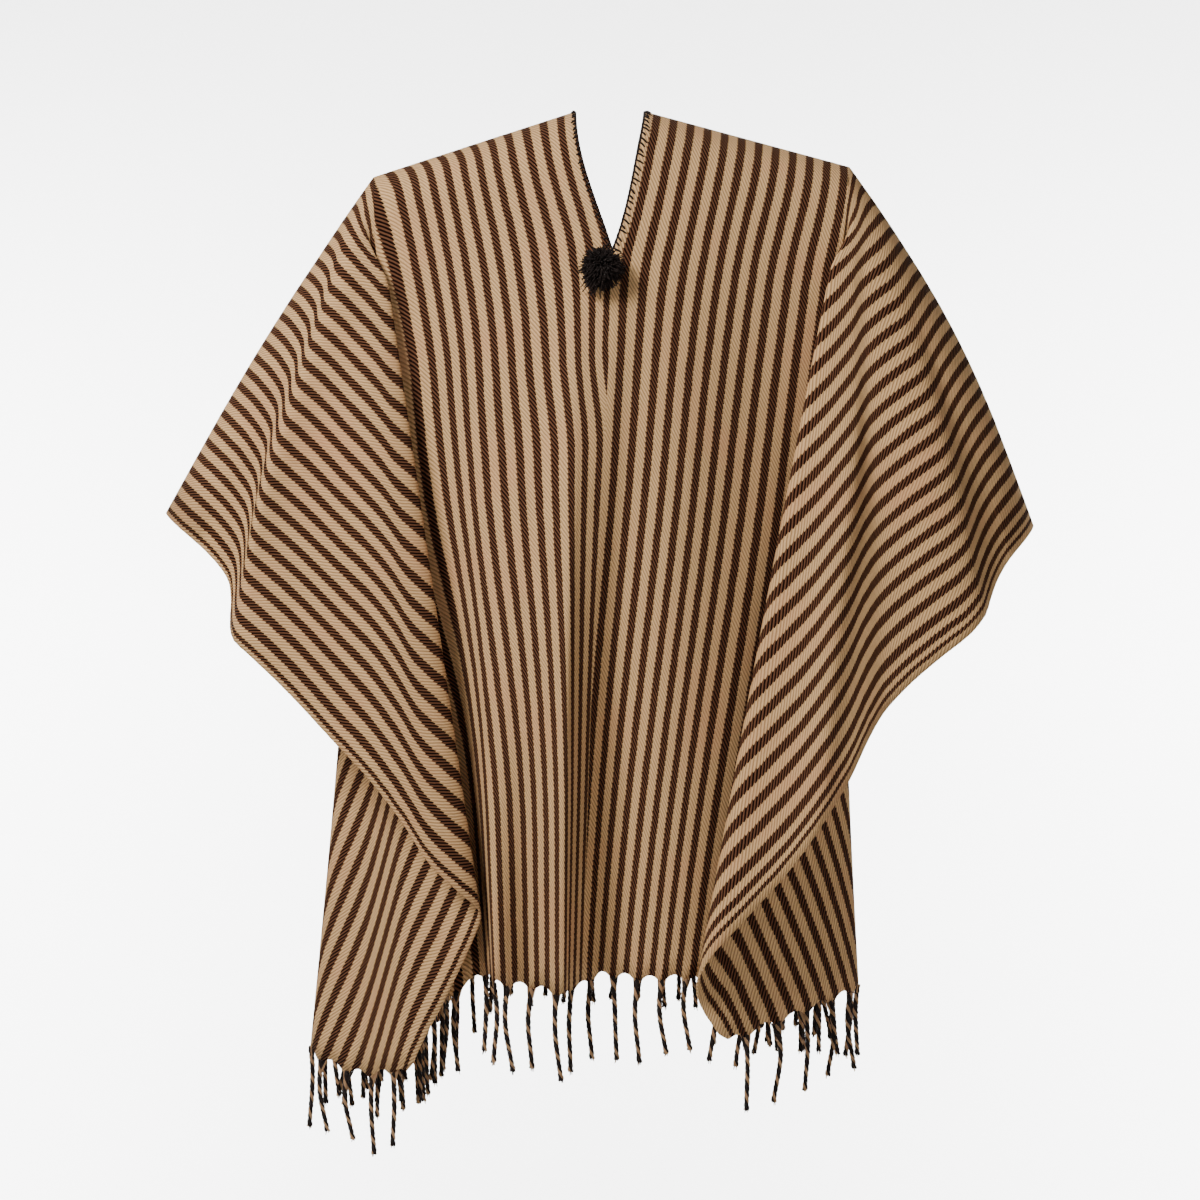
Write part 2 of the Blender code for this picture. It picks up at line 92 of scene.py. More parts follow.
HemPlace = namedtuple("HemPlace", "across x fore z start full")
BODY_HEM = {
    "front": (
        HemPlace(-0.170, -0.122, 0.064, -0.853, 0.5, 1.0),
        HemPlace(-0.145, -0.112, 0.096, -0.853, 0.5, 1.0),
        HemPlace(-0.120, -0.106, 0.121, -0.854, 0.5, 1.0),
        HemPlace(-0.076, -0.075, 0.096, -0.860, 0.3, 1.0),
        HemPlace(-0.036, -0.045, 0.118, -0.865, 0.1, 0.8),
        HemPlace(-0.020, -0.040, 0.102, -0.863, 0.1, 0.8),
        HemPlace(0.000, -0.028, 0.084, -0.860, 0.1, 0.8),
        HemPlace(0.028, -0.010, 0.064, -0.853, 0.1, 0.8),
        HemPlace(0.084, 0.032, 0.086, -0.854, 0.2, 0.9),
        HemPlace(0.140, 0.075, 0.092, -0.852, 0.3, 1.0),
        HemPlace(0.175, 0.106, 0.076, -0.855, 0.3, 1.0),
    ),
    "back": (
        HemPlace(-0.170, -0.123, 0.050, -0.838, 0.3, 1.0),
        HemPlace(-0.110, -0.086, 0.086, -0.834, 0.3, 1.0),
        HemPlace(-0.050, -0.048, 0.080, -0.836, 0.2, 1.0),
        HemPlace(0.012, 0.004, 0.110, -0.840, 0.2, 0.9),
        HemPlace(0.070, 0.050, 0.078, -0.836, 0.2, 1.0),
        HemPlace(0.125, 0.084, 0.080, -0.834, 0.3, 1.0),
        HemPlace(0.172, 0.103, 0.048, -0.836, 0.3, 1.0),
    ),
}

Ray = namedtuple("Ray", "angle out fore reach")
SIDE_RAYS = {
    -1: (
        Ray(0.0, -0.087, 0.045, 0.982),
        Ray(1.5, -0.070, 0.036, 0.990),
        Ray(3.0, -0.060, 0.008, 1.000),
        Ray(6.2, -0.055, -0.042, 1.010),
        Ray(9.0, -0.030, -0.055, 1.010),
        Ray(12.0, 0.000, -0.035, 1.000),
        Ray(15.0, 0.035, -0.055, 0.990),
        Ray(17.5, 0.062, -0.048, 0.985),
        Ray(18.8, 0.071, -0.030, 0.985),
        Ray(20.3, 0.063, -0.008, 0.985),
        Ray(23.5, 0.008, 0.035, 0.975),
        Ray(CORNER_ANGLE, -0.044, 0.075, 0.945),
        Ray(30.5, -0.100, 0.110, 0.960),
        Ray(33.5, -0.145, 0.137, 0.975),
        Ray(34.9, -0.155, 0.153, 0.985),
        Ray(36.3, -0.134, 0.172, 0.995),
        Ray(38.6, -0.092, 0.185, 1.003),
        Ray(41.4, -0.052, 0.190, 1.004),
        Ray(45.2, 0.007, 0.190, 1.006),
        Ray(49.8, 0.081, 0.180, 1.010),
        Ray(53.5, 0.139, 0.170, 1.011),
        Ray(57.3, 0.200, 0.155, 1.012),
        Ray(61.0, 0.258, 0.135, 1.016),
        Ray(64.5, 0.306, 0.115, 1.021),
        Ray(68.0, 0.328, 0.095, 1.015),
        Ray(72.0, 0.343, 0.070, 0.999),
        Ray(76.3, 0.371, 0.045, 0.978),
        Ray(81.0, 0.441, 0.025, 0.953),
        Ray(85.0, 0.514, 0.010, 0.938),
        Ray(90.0, 0.620, 0.000, 0.925),
    ),
    1: (
        Ray(0.0, -0.128, 0.040, 0.975),
        Ray(1.5, -0.112, 0.030, 0.970),
        Ray(3.0, -0.102, 0.002, 0.965),
        Ray(6.0, -0.094, -0.055, 0.960),
        Ray(9.0, -0.060, -0.055, 0.955),
        Ray(12.0, -0.030, -0.035, 0.950),
        Ray(14.5, -0.005, -0.052, 0.945),
        Ray(16.9, 0.009, -0.035, 0.936),
        Ray(18.5, 0.004, -0.008, 0.930),
        Ray(22.5, -0.058, 0.060, 0.924),
        Ray(CORNER_ANGLE, -0.150, 0.135, 0.930),
        Ray(28.8, -0.186, 0.155, 0.950),
        Ray(30.0, -0.198, 0.175, 0.962),
        Ray(31.2, -0.190, 0.195, 0.966),
        Ray(32.9, -0.158, 0.200, 0.967),
        Ray(36.0, -0.108, 0.202, 0.976),
        Ray(40.0, -0.054, 0.200, 0.983),
        Ray(43.6, -0.010, 0.194, 0.988),
        Ray(49.1, 0.027, 0.178, 1.010),
        Ray(54.8, 0.062, 0.162, 1.040),
        Ray(58.7, 0.112, 0.155, 1.042),
        Ray(62.8, 0.178, 0.145, 1.040),
        Ray(66.6, 0.245, 0.125, 1.036),
        Ray(69.9, 0.296, 0.098, 1.020),
        Ray(76.9, 0.352, 0.062, 0.998),
        Ray(84.0, 0.418, 0.030, 0.972),
        Ray(90.0, 0.515, 0.000, 0.943),
    ),
}
BACK_NARROWER = 0.022
BACK_SHORTER = 0.985
BACK_SAME_TOP = (70.0, 90.0)

CREASE_START = -0.3
CREASE_FULL = 0.6
Crease = namedtuple("Crease", "face side out0 drop0 out1 drop1 height soft steep")
CREASES = (
    Crease("front", -1, 0.195, 0.042, 0.420, 0.214, 0.022, 0.055, 0.014),
    Crease("front", -1, 0.054, 0.040, 0.128, 0.070, 0.007, 0.022, 0.012),
    Crease("front", 1, 0.150, 0.066, 0.405, 0.158, 0.020, 0.050, 0.014),
    Crease("front", 1, 0.166, 0.166, 0.300, 0.350, 0.012, 0.035, 0.020),
    Crease("back", -1, 0.150, 0.070, 0.420, 0.205, 0.018, 0.060, 0.018),
    Crease("back", 1, 0.180, 0.060, 0.410, 0.230, 0.020, 0.050, 0.016),
)


def ease(value, low, high):
    """0 below low, 1 above high, and a smooth rise between."""
    share = min(1.0, max(0.0, (value - low) / (high - low)))
    return share * share * (3.0 - 2.0 * share)


def along(rows, value):
    """Every column of a table at one value of its first, on a smooth curve through its rows."""
    keys = [row[0] for row in rows]
    upper = min(max(bisect_right(keys, value), 1), len(rows) - 1)
    lower = upper - 1
    span = keys[upper] - keys[lower]
    share = min(1.0, max(0.0, (value - keys[lower]) / span))
    before = rows[max(lower - 1, 0)]
    after = rows[min(upper + 1, len(rows) - 1)]
    start = 2 * share ** 3 - 3 * share ** 2 + 1
    end = 3 * share ** 2 - 2 * share ** 3
    leave = (share ** 3 - 2 * share ** 2 + share) * span
    arrive = (share ** 3 - share ** 2) * span
    out = []
    for low, high, back, ahead in zip(rows[lower], rows[upper], before, after):
        leaving = (high - back) / (keys[upper] - before[0])
        arriving = (ahead - low) / (after[0] - keys[lower])
        out.append(start * low + end * high + leave * leaving + arrive * arriving)
    return type(rows[0])(*out)


def arch(down):
    """How far a place on the cloth has dropped and come forward over the shoulder's arch."""
    if down < QUARTER_ARCH:
        turn = down / ARCH_RADIUS
        return ARCH_RADIUS * (1 - math.cos(turn)), ARCH_RADIUS * math.sin(turn)
    return ARCH_RADIUS + down - QUARTER_ARCH, ARCH_RADIUS


def down_at(drop):
    """The place along the cloth that has dropped this far: the arch undone."""
    if drop < ARCH_RADIUS:
        return ARCH_RADIUS * math.acos(max(-1.0, 1 - drop / ARCH_RADIUS))
    return drop - ARCH_RADIUS + QUARTER_ARCH


def side_rays(face, side):
    """The rays of one side; the back has the same folds, a little narrower and shorter."""
    rays = SIDE_RAYS[side]
    if face == "front":
        return rays
    narrowed = []
    for ray in rays:
        hidden = 1.0 - ease(ray.angle, *BACK_SAME_TOP)
        out = ray.out - BACK_NARROWER * hidden
        reach = ray.reach * (1 - (1 - BACK_SHORTER) * hidden)
        narrowed.append(Ray(ray.angle, out, ray.fore, reach))
    return tuple(narrowed)


def ray_vector(ray, side):
    """One ray's run for each unit of woven length, as x, fore and z."""
    return Vector((side * ray.out, ray.fore, -1.0)).normalized() * ray.reach


def side_place(face, side, out, drop):
    """x, fore and z of a place on the side cloth, from its distance out and its drop."""
    angle = math.degrees(math.atan2(out, drop))
    length = math.hypot(out, drop)
    rays = RAYS[face, side]
    folded = ray_vector(along(rays, angle), side)
    plain = ray_vector(rays[0], side).lerp(ray_vector(rays[-1], side), angle / 90)
    run = plain.lerp(folded, ease(length, FOLD_START, FOLD_FULL))
    place = SHOULDERS[side] + run * length
    bow = ARM_BOW[side] * math.sin(math.pi * min(1.0, length / BOW_REACH)) * ease(angle, *BOW_RISE)
    place += Vector((side * BOW_OUT, 0.0, BOW_UP)) * bow
    near_edge = ease(angle, *EDGE_RISE) * (1 - ease(angle, *EDGE_FADE))
    place.x -= side * EDGE_BOW[side] * near_edge * math.sin(math.pi * min(1.0, length / EDGE_REACH))
    at_hug = ease(angle, *HUG_RISE) * (1 - ease(angle, *HUG_FADE)) * ease(length, *HUG_GROWS)
    place.x -= side * SELVEDGE_HUG[side] * at_hug
    place.y += crease_height(face, side, out, drop)
    return place


def crease_height(face, side, out, drop):
    """How far the creases push a place on the side cloth outwards."""
    total = 0.0
    for crease in CREASES:
        if (crease.face, crease.side) != (face, side):
            continue
        run_out = crease.out1 - crease.out0
        run_drop = crease.drop1 - crease.drop0
        run = math.hypot(run_out, run_drop)
        from_out = out - crease.out0
        from_drop = drop - crease.drop0
        on = (from_out * run_out + from_drop * run_drop) / run
        off = (from_drop * run_out - from_out * run_drop) / run
        width = crease.soft if off > 0 else crease.steep
        grown = ease(on, CREASE_START * run, CREASE_FULL * run)
        total += crease.height * grown * math.exp(-((off / width) ** 2))
    return total


def neck_spread(share, drop):
    """How far the slit's gape still spreads the cloth: sharp at its edge, soft beside it."""
    left = 1 - drop / SLIT_DROP
    soft = SLIT_SOFTNESS * min(1.0, share)
    smooth = (left + math.hypot(left, soft)) / (1 + math.hypot(1.0, soft))
    return 1 - (1 - max(0.0, smooth)) ** SLIT_CURVE


def body_place(face, side, across, drop, hem_rows):
    """x, fore and z of a place on the body panel, ruled from the shoulder line to the hem."""
    shoulder = SHOULDERS[side]
    hem = along(hem_rows, across)
    share = abs(across) / SHOULDER_ACROSS
    fall = drop / HEM_DROP
    gape = NECK_HALF_GAPE * neck_spread(share, drop)
    bulge = CHEST_BULGE[face] * 4 * fall * (1 - fall) * math.cos(share * math.pi / 2) ** 2
    lean = SLIT_LEAN * ease(drop, *LEAN_RISE) * (1 - ease(drop, *LEAN_FADE)) * (1 - share) ** 2
    x = (1 - fall) * share * shoulder.x + fall * hem.x + (1 - share) * side * gape + lean
    z = (1 - fall) * share * shoulder.z + fall * hem.z
    end = hem_rows[0] if side < 0 else hem_rows[-1]
    plain = PANEL_FORE + (end.fore - PANEL_FORE) * share ** 2
    pleat = (hem.fore - plain) * ease(fall, hem.start, hem.full)
    return Vector((x, fall * plain + pleat + bulge, z))


def hem_rows(face):
    """The body's hem from shoulder to shoulder: its own places and the two side rays it meets."""
    ends = []
    for side in (-1, 1):
        end = SHOULDERS[side] + ray_vector(RAYS[face, side][0], side) * HEM_DROP
        ends.append(HemPlace(side * SHOULDER_ACROSS, end.x, end.y, end.z, 0.3, 1.0))
    return (ends[0], *BODY_HEM[face], ends[1])


def cloth_point(face, across, down, side=0):
    """Where a place on the woven length hangs. side settles which edge of the slit is meant."""
    side = side or (-1 if across < 0 else 1)
    drop, forward = arch(down)
    if abs(across) > SHOULDER_ACROSS:
        place = side_place(face, side, abs(across) - SHOULDER_ACROSS, drop)
    else:
        place = body_place(face, side, across, drop, HEMS[face])
    return Vector((place.x, FACES[face] * (place.y + forward), place.z))


RAYS = {(face, side): side_rays(face, side) for face in FACES for side in (-1, 1)}
HEMS = {face: hem_rows(face) for face in FACES}

STRAND_PITCH = 0.030
STRANDS = 42
SCALLOP_RISE = 0.013
SCALLOP_POINT = 0.004
SCALLOP_ROUND = 0.6
SLIT_TURNED_UNDER = 0.0095
TURNED_REACH = 0.10
TURNED_ROUND = 0.6
STRIPE_PERIOD = 0.0174
PLEAT_NARROWS = 0.055
PLEAT_SWALLOWS = (0.26, 0.36)
CREEP_LEFT = 0.040
CREEP_LEFT_RUN = 0.22
CREEP_LEFT_LOW = 0.037
LEFT_LOW_DOWN = (0.36, 0.72)
CREEP_LEFT_OUTER = 0.005
LEFT_OUTER_ACROSS = (0.06, 0.12)
LEFT_OUTER_RISE = (0.0, 0.05)
LEFT_OUTER_FADE = (0.22, 0.34)
CREEP_RIGHT = 0.008
RIGHT_DOWN = (0.05, 0.17)
RIGHT_ACROSS = (0.02, 0.14)
CREEP_RIGHT_LOW = 0.019
RIGHT_LOW_DOWN = (0.36, 0.90)
CREEP_STOPS = {-1: (0.18, 0.30), 1: (0.17, 0.27)}
CREEP_END = 0.215
EDGE_NUDGE = 1e-9
WELD = 0.00005
ROWS_CROWD = 1.2
BODY_STEPS = 42
ARCH_STEPS = 7
LOWER_STEPS = 46
FAN_STEPS = ((0.0, CORNER_ANGLE, 80), (CORNER_ANGLE, 42.0, 30), (42.0, SELVEDGE_ANGLE, 32))


def scallop(across):
    """How far the hem is drawn up between two strands of the fringe."""
    phase = abs(math.sin(math.pi * (across / STRAND_PITCH + 0.5)))
    return SCALLOP_RISE * phase ** SCALLOP_ROUND - SCALLOP_POINT


def ray_length(angle):
    """How long one ray is, from its shoulder point to the selvedge or the hem."""
    turn = math.radians(angle)
    if angle > CORNER_ANGLE:
        return SIDE_WIDTH / math.sin(turn)
    hem_across = SHOULDER_ACROSS + HEM_DROP * math.tan(turn)
    return (HEM_DROP - scallop(hem_across)) / math.cos(turn)


def cloth_column(across, angle):
    """Places (across, down) down one line of the cloth, over the arch and out along its ray."""
    turn = math.radians(angle)
    side = -1 if across < 0 else 1
    line = [(across, QUARTER_ARCH * row / ARCH_STEPS) for row in range(ARCH_STEPS + 1)]
    first = ARCH_RADIUS / math.cos(turn)
    last = ray_length(angle) if angle else HEM_DROP - scallop(across)
    slit_share = (SLIT_DROP - ARCH_RADIUS) / (HEM_DROP - ARCH_RADIUS)
    shares = [(row / LOWER_STEPS) ** ROWS_CROWD for row in range(1, LOWER_STEPS + 1)]
    nearest = min(range(len(shares)), key=lambda row: abs(shares[row] - slit_share))
    shares[nearest] = slit_share
    for share in shares:
        length = first + (last - first) * share
        out = length * math.sin(turn) - ARCH_RADIUS * math.tan(turn)
        line.append((across + side * out, down_at(length * math.cos(turn))))
    return line


def warp_creep(across, down, on_left):
    """How far the front's warp lines have crept in towards the centre pleat. The pleat takes
    up one whole stripe, so the pattern meets itself again below where it starts."""
    side = -1 if on_left else 1
    start, spread = CREEP_STOPS[side]
    stays = 1 - ease(abs(across), start, CREEP_END + spread * down)
    if on_left:
        swallowed = STRIPE_PERIOD * ease(down, *PLEAT_SWALLOWS)
        full = CREEP_LEFT * (1 - math.exp(-down / CREEP_LEFT_RUN))
        full += CREEP_LEFT_LOW * ease(down, *LEFT_LOW_DOWN)
        high = ease(down, *LEFT_OUTER_RISE) * (1 - ease(down, *LEFT_OUTER_FADE))
        full += CREEP_LEFT_OUTER * ease(abs(across), *LEFT_OUTER_ACROSS) * high
        near = math.exp(-abs(across) / PLEAT_NARROWS)
        return -(full + (swallowed - full) * near) * stays
    crept = CREEP_RIGHT * ease(down, *RIGHT_DOWN) * ease(across, *RIGHT_ACROSS)
    crept += CREEP_RIGHT_LOW * ease(down, *RIGHT_LOW_DOWN)
    return crept * stays


columns = []
for side in (-1, 1):
    half = []
    for low, high, steps in reversed(FAN_STEPS):
        for step in range(steps, 0, -1):
            angle = low + (high - low) * step / steps
            across = SHOULDER_ACROSS + ARCH_RADIUS * math.tan(math.radians(angle))
            half.append((side, side * across, angle))
    for step in range(BODY_STEPS, -1, -1):
        half.append((side, side * max(SHOULDER_ACROSS * step / BODY_STEPS, EDGE_NUDGE), 0.0))
    columns.extend(half if side < 0 else half[::-1])
rows_each = ARCH_STEPS + LOWER_STEPS
lines = [cloth_column(across, angle) for side, across, angle in columns]

weave = bmesh.new()
bmesh.ops.create_grid(weave, x_segments=len(columns) - 1, y_segments=2 * rows_each, size=0.5)
place_across = weave.verts.layers.float.new("across")
place_along = weave.verts.layers.float.new("along")
left_edge = sum(1 for side, across, angle in columns if side < 0) - 1
slit_faces = []
for face in weave.faces:
    column = (face.calc_center_median().x + 0.5) * (len(columns) - 1)
    if left_edge < column < left_edge + 1:
        slit_faces.append(face)
bmesh.ops.delete(weave, geom=slit_faces, context="FACES_ONLY")
for vert in weave.verts:
    column = round((vert.co.x + 0.5) * (len(columns) - 1))
    row = round((vert.co.y + 0.5) * 2 * rows_each) - rows_each
    face = "front" if row < 0 else "back"
    across, down = lines[column][abs(row)]
    vert[place_across] = across
    vert[place_along] = FACES[face] * down
    vert.co = cloth_point(face, across, down, columns[column][0])
bmesh.ops.remove_doubles(weave, verts=weave.verts, dist=WELD)
bmesh.ops.recalc_face_normals(weave, faces=weave.faces)
weave_map = weave.loops.layers.uv.new("weave")
for face in weave.faces:
    face.smooth = True
    on_left = sum(vert[place_across] for vert in face.verts) < 0
    on_front = sum(vert[place_along] for vert in face.verts) < 0
    for loop in face.loops:
        across = loop.vert[place_across]
        place = loop.vert[place_along]
        warp = across
        if on_left:
            up = max(0.0, 1 - abs(place) / down_at(SLIT_DROP)) ** TURNED_ROUND
            warp -= SLIT_TURNED_UNDER * up * max(0.0, 1 - abs(across) / TURNED_REACH)
        if on_front:
            warp += warp_creep(across, abs(place), on_left)
        loop[weave_map].uv = (warp, place)
mesh = bpy.data.meshes.new("poncho_cloth")
weave.to_mesh(mesh)
weave.free()
cloth = bpy.data.objects.new("poncho_cloth", mesh)
bpy.context.scene.collection.objects.link(cloth)
wall = cloth.modifiers.new("Wall", "SOLIDIFY")
wall.thickness = CLOTH_THICK
wall.offset = 0.0


def wool_fibre_group():
    """Fine wool fibre: a height for bump, and a light and dark mottle for colour."""
    group = bpy.data.node_groups.new("wool_fibre", "ShaderNodeTree")
    group.interface.new_socket("Vector", in_out="INPUT", socket_type="NodeSocketVector")
    group.interface.new_socket("Scale", in_out="INPUT", socket_type="NodeSocketFloat")
    group.interface.new_socket("Height", in_out="OUTPUT", socket_type="NodeSocketFloat")
    group.interface.new_socket("Mottle", in_out="OUTPUT", socket_type="NodeSocketFloat")
    start = group.nodes.new("NodeGroupInput")
    end = group.nodes.new("NodeGroupOutput")
    fine = group.nodes.new("ShaderNodeTexNoise")
    fine.inputs["Detail"].default_value = 3.0
    fine.inputs["Roughness"].default_value = 0.65
    broad = group.nodes.new("ShaderNodeTexNoise")
    broad.inputs["Scale"].default_value = 14.0
    broad.inputs["Detail"].default_value = 2.0
    group.links.new(start.outputs["Vector"], fine.inputs["Vector"])
    group.links.new(start.outputs["Scale"], fine.inputs["Scale"])
    group.links.new(start.outputs["Vector"], broad.inputs["Vector"])
    group.links.new(fine.outputs["Fac"], end.inputs["Height"])
    group.links.new(broad.outputs["Fac"], end.inputs["Mottle"])
    return group


FIBRE = wool_fibre_group()


def math_node(nodes, links, operation, first, second=None, third=None):
    """One Math node with numbers or sockets for its inputs; gives its output."""
    node = nodes.new("ShaderNodeMath")
    node.operation = operation
    for slot, value in enumerate((first, second, third)):
        if value is None:
            continue
        if isinstance(value, (int, float)):
            node.inputs[slot].default_value = value
        else:
            links.new(value, node.inputs[slot])
    return node.outputs[0]


def mix_node(nodes, links, factor, first, second, blend="MIX"):
    """One colour Mix node with colours or sockets for its inputs; gives its output."""
    node = nodes.new("ShaderNodeMix")
    node.data_type = "RGBA"
    node.blend_type = blend
    for name, value in (("Factor", factor), ("A", first), ("B", second)):
        socket = next(s for s in node.inputs if s.name == name and s.enabled)
        if isinstance(value, (int, float)):
            socket.default_value = value
        elif isinstance(value, tuple):
            socket.default_value = (*value, 1.0)
        else:
            links.new(value, socket)
    return next(s for s in node.outputs if s.enabled)


STRIPE_LIGHT_SHARE = 0.53
TWILL_PITCH = 0.0028
TWILL_TURN = math.radians(34)
TWILL_WANDER = 0.5
WEFT_SHOWS = (0.44, 0.64)
WANDER_SCALE = 60.0
STRIPE_TOOTH = 0.0016
STRIPE_WANDER = 0.0016
STRIPE_BLUR = 0.025
EDGE_BAND = 0.026
EDGE_STRIPES = {
    -1: ((0.212, 1.0), (0.385, 0.0), (0.685, 1.0)),
    1: ((0.192, 1.0), (0.346, 0.0), (0.519, 1.0), (0.750, 0.0)),
}
DARK_WARP = (0.0055, 0.0016, 0.0009)
DARK_WEFT = (0.130, 0.054, 0.027)
LIGHT_WARP = (0.660, 0.405, 0.195)
LIGHT_WEFT = (0.370, 0.212, 0.094)
TINT = (0.560, 0.250, 0.130)
TINT_STRENGTH = 1.6
YARN_STREAKS = (700.0, 9.0, 1.0)
CLOTH_FIBRE_SCALE = 900.0
SHADE_LOW = 0.66
SHADE_SPAN = 0.34


def striped_twill():
    """Warp stripes in sand and dark brown wool, crossed by the slant of a 2/2 twill."""
    material = bpy.data.materials.new("striped_twill")
    material.use_nodes = True
    nodes = material.node_tree.nodes
    links = material.node_tree.links
    shader = nodes["Principled BSDF"]
    uv = nodes.new("ShaderNodeUVMap")
    uv.uv_map = "weave"
    split = nodes.new("ShaderNodeSeparateXYZ")
    links.new(uv.outputs["UV"], split.inputs[0])
    across, along_cloth = split.outputs["X"], split.outputs["Y"]

    def make(operation, first, second=None, third=None):
        return math_node(nodes, links, operation, first, second, third)

    wander = nodes.new("ShaderNodeTexNoise")
    wander.inputs["Scale"].default_value = WANDER_SCALE
    links.new(uv.outputs["UV"], wander.inputs["Vector"])
    slant = make("MULTIPLY", across, math.cos(TWILL_TURN) / TWILL_PITCH)
    slant = make("MULTIPLY_ADD", along_cloth, math.sin(TWILL_TURN) / TWILL_PITCH, slant)
    slant = make("MULTIPLY_ADD", wander.outputs["Fac"], TWILL_WANDER, slant)
    rib = make("PINGPONG", slant, 0.5)
    rib = make("MULTIPLY", rib, 2.0)
    weft_shows = nodes.new("ShaderNodeMapRange")
    weft_shows.interpolation_type = "SMOOTHSTEP"
    weft_shows.inputs["From Min"].default_value = WEFT_SHOWS[0]
    weft_shows.inputs["From Max"].default_value = WEFT_SHOWS[1]
    links.new(rib, weft_shows.inputs["Value"])

    uneven = make("MULTIPLY_ADD", wander.outputs["Fac"], STRIPE_WANDER, across)
    toothed = make("MULTIPLY_ADD", rib, STRIPE_TOOTH, uneven)
    turn = make("FRACT", make("MULTIPLY", toothed, 1 / STRIPE_PERIOD))
    falling = nodes.new("ShaderNodeMapRange")
    falling.interpolation_type = "SMOOTHSTEP"
    falling.inputs["From Min"].default_value = STRIPE_LIGHT_SHARE - STRIPE_BLUR
    falling.inputs["From Max"].default_value = STRIPE_LIGHT_SHARE + STRIPE_BLUR
    links.new(turn, falling.inputs["Value"])
    from_edge = make("SUBTRACT", HALF_WIDTH, make("ABSOLUTE", toothed))
    bands = []
    for side in (-1, 1):
        band = nodes.new("ShaderNodeValToRGB")
        band.color_ramp.interpolation = "CONSTANT"
        band.color_ramp.elements[0].color = (0, 0, 0, 1)
        band.color_ramp.elements.remove(band.color_ramp.elements[1])
        for place, shade in EDGE_STRIPES[side]:
            element = band.color_ramp.elements.new(place)
            element.color = (shade, shade, shade, 1)
        links.new(make("MULTIPLY", from_edge, 1 / EDGE_BAND), band.inputs["Fac"])
        bands.append(band.outputs["Color"])
    on_right = make("GREATER_THAN", across, 0.0)
    edge_stripes = mix_node(nodes, links, on_right, *bands)
    in_band = make("LESS_THAN", from_edge, EDGE_BAND)
    dark = mix_node(nodes, links, in_band, falling.outputs["Result"], edge_stripes)

    yarn_vector = nodes.new("ShaderNodeMapping")
    yarn_vector.inputs["Scale"].default_value = YARN_STREAKS
    links.new(uv.outputs["UV"], yarn_vector.inputs["Vector"])
    yarn = nodes.new("ShaderNodeTexNoise")
    yarn.inputs["Scale"].default_value = 1.0
    yarn.inputs["Detail"].default_value = 2.0
    links.new(yarn_vector.outputs["Vector"], yarn.inputs["Vector"])
    coords = nodes.new("ShaderNodeTexCoord")
    fibre = nodes.new("ShaderNodeGroup")
    fibre.node_tree = FIBRE
    fibre.inputs["Scale"].default_value = CLOTH_FIBRE_SCALE
    links.new(coords.outputs["Object"], fibre.inputs["Vector"])

    shown = weft_shows.outputs["Result"]
    dark_cloth = mix_node(nodes, links, shown, DARK_WARP, DARK_WEFT)
    light_cloth = mix_node(nodes, links, shown, LIGHT_WARP, LIGHT_WEFT)
    tint_share = make("MULTIPLY", make("SUBTRACT", fibre.outputs["Mottle"], 0.5), TINT_STRENGTH)
    tint_share = make("MAXIMUM", tint_share, 0.0)
    tinted_light = mix_node(nodes, links, tint_share, light_cloth, TINT)
    woven = mix_node(nodes, links, dark, tinted_light, dark_cloth)
    shade = make("MULTIPLY_ADD", yarn.outputs["Fac"], SHADE_SPAN, SHADE_LOW)
    shade = make("MULTIPLY_ADD", fibre.outputs["Height"], SHADE_SPAN, shade)
    shaded = nodes.new("ShaderNodeVectorMath")
    shaded.operation = "SCALE"
    links.new(woven, shaded.inputs[0])
    links.new(shade, shaded.inputs["Scale"])
    links.new(shaded.outputs["Vector"], shader.inputs["Base Color"])

    height = make("MULTIPLY_ADD", rib, 0.7, make("MULTIPLY", fibre.outputs["Height"], 0.5))
    height = make("MULTIPLY_ADD", yarn.outputs["Fac"], 0.3, height)
    bump = nodes.new("ShaderNodeBump")
    bump.inputs["Strength"].default_value = 0.55
    bump.inputs["Distance"].default_value = 0.0008
    links.new(height, bump.inputs["Height"])
    links.new(bump.outputs["Normal"], shader.inputs["Normal"])
    links.new(make("MULTIPLY_ADD", fibre.outputs["Height"], 0.2, 0.8), shader.inputs["Roughness"])
    shader.inputs["Sheen Weight"].default_value = 0.01
    shader.inputs["Sheen Roughness"].default_value = 0.6
    shader.inputs["Sheen Tint"].default_value = (1.0, 0.85, 0.7, 1.0)
    shader.inputs["Specular IOR Level"].default_value = 0.04
    return material


cloth.data.materials.append(striped_twill())
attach(cloth, "root")
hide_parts("cloth_front", "cloth_back")

# The fringe
# The warp ends of the cloth itself, gathered every 30 mm and twisted into cords of three
# plies, two dark and one sand. Each cord's end is left loose and a little frayed.
PLIES = (0, 0, 1)
CORD_RADIUS = 0.0015
PLY_OFFSET = 0.0017
PLY_TURN = 0.017
PLY_POINTS_PER_TURN = 8
FRINGE_LENGTHS = (0.066, 0.082)
FRINGE_LEAN = 0.05
FRINGE_SEEDS = {"front": 3, "back": 8}
GATHER_REACH = 0.0055
GATHER_YARNS = 7
GATHER_RADIUS = 0.0010
FRAY_HAIRS = 6
FRAY_LENGTH = 0.009
FRAY_RADIUS = 0.0008
FRAY_INSIDE = 0.005
STRAND_WAVE = 0.0035
STRAND_TUCK = 0.004
YARN_FIBRE_SCALE = 1400.0


